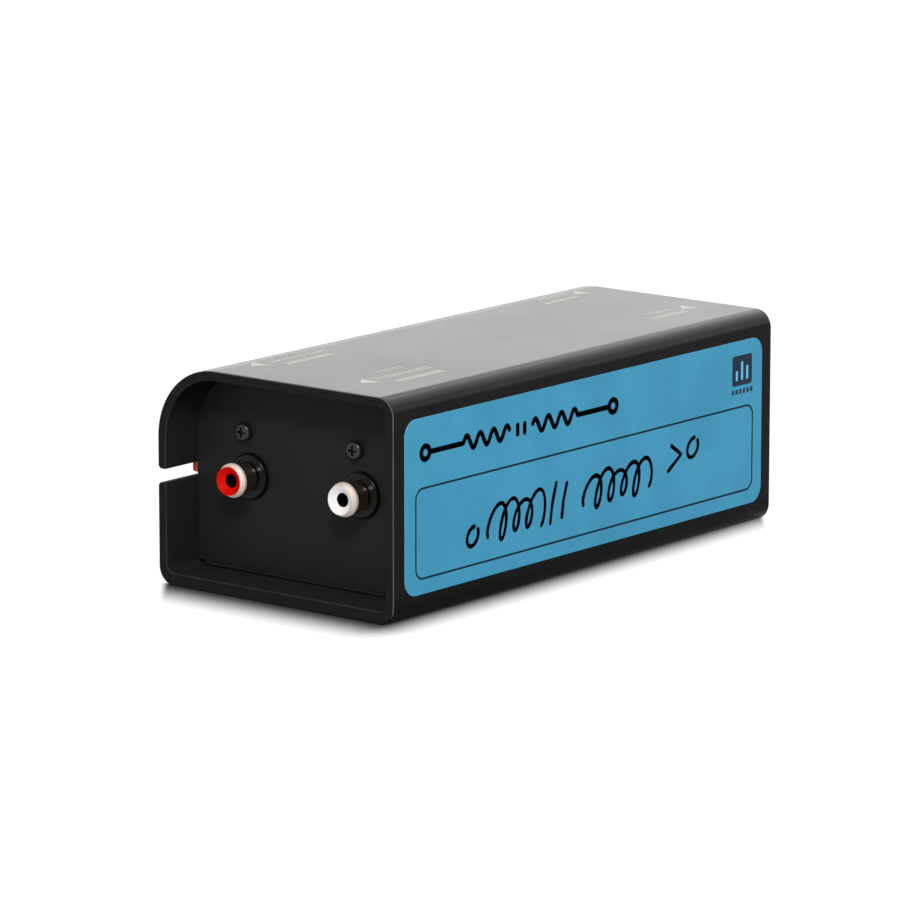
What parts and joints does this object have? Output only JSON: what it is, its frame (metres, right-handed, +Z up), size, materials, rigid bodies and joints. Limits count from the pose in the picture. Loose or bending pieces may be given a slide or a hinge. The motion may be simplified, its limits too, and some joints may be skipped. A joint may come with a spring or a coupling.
{
  "type": "ground loop isolator",
  "caption": "Passive audio ground loop isolator: black metal sleeve with an open seam and a blue side label, phono sockets in recessed end panels, transformers inside.",
  "frame": {"origin": "middle of the underside of the case", "axes": "+X along the case from the output end to the input end, -Y out of the label, +Z up"},
  "size_m": [0.15, 0.0736, 0.0543],
  "materials": {
    "case_coat": "satin black anodised and lacquered aluminium",
    "panel_coat": "satin black powder coat on steel",
    "label_film": "satin sky blue film with black print",
    "seal_rubber": "red-brown silicone rubber",
    "socket_black": "black moulded plastic",
    "nickel": "polished nickel plate",
    "insert_red": "red moulded plastic",
    "insert_white": "white moulded plastic",
    "contact_tin": "tinned bronze",
    "screw_black": "black oxide steel",
    "board_green": "green solder resist on glass fibre board",
    "zinc_steel": "zinc plated steel",
    "core_steel": "varnished silicon steel plates",
    "bobbin_plastic": "black glass filled nylon",
    "copper_wire": "enamelled copper wire",
    "tape": "yellow polyester tape"
  },
  "bodies": {
    "root": {"case_sleeve": "case_coat", "side_label": "label_film", "chassis": "panel_coat", "seam_seal": "seal_rubber", "socket_screws": "screw_black", "circuit_board": "board_green", "board_pillars": "zinc_steel", "board_screws": "zinc_steel", "case_screws": "screw_black", "output_red_housing": "socket_black", "output_red_barrel": "nickel", "output_red_insert": "insert_red", "output_red_contact": "contact_tin", "output_white_housing": "socket_black", "output_white_barrel": "nickel", "output_white_insert": "insert_white", "output_white_contact": "contact_tin", "input_red_housing": "socket_black", "input_red_barrel": "nickel", "input_red_insert": "insert_red", "input_red_contact": "contact_tin", "input_white_housing": "socket_black", "input_white_barrel": "nickel", "input_white_insert": "insert_white", "input_white_contact": "contact_tin", "red_core": "core_steel", "red_bobbin": "bobbin_plastic", "red_primary_winding": "copper_wire", "red_secondary_winding": "copper_wire", "red_winding_tape": "tape", "red_core_clamp": "zinc_steel", "red_transformer_pins": "contact_tin", "white_core": "core_steel", "white_bobbin": "bobbin_plastic", "white_primary_winding": "copper_wire", "white_secondary_winding": "copper_wire", "white_winding_tape": "tape", "white_core_clamp": "zinc_steel", "white_transformer_pins": "contact_tin"}
  },
  "joints": []
}
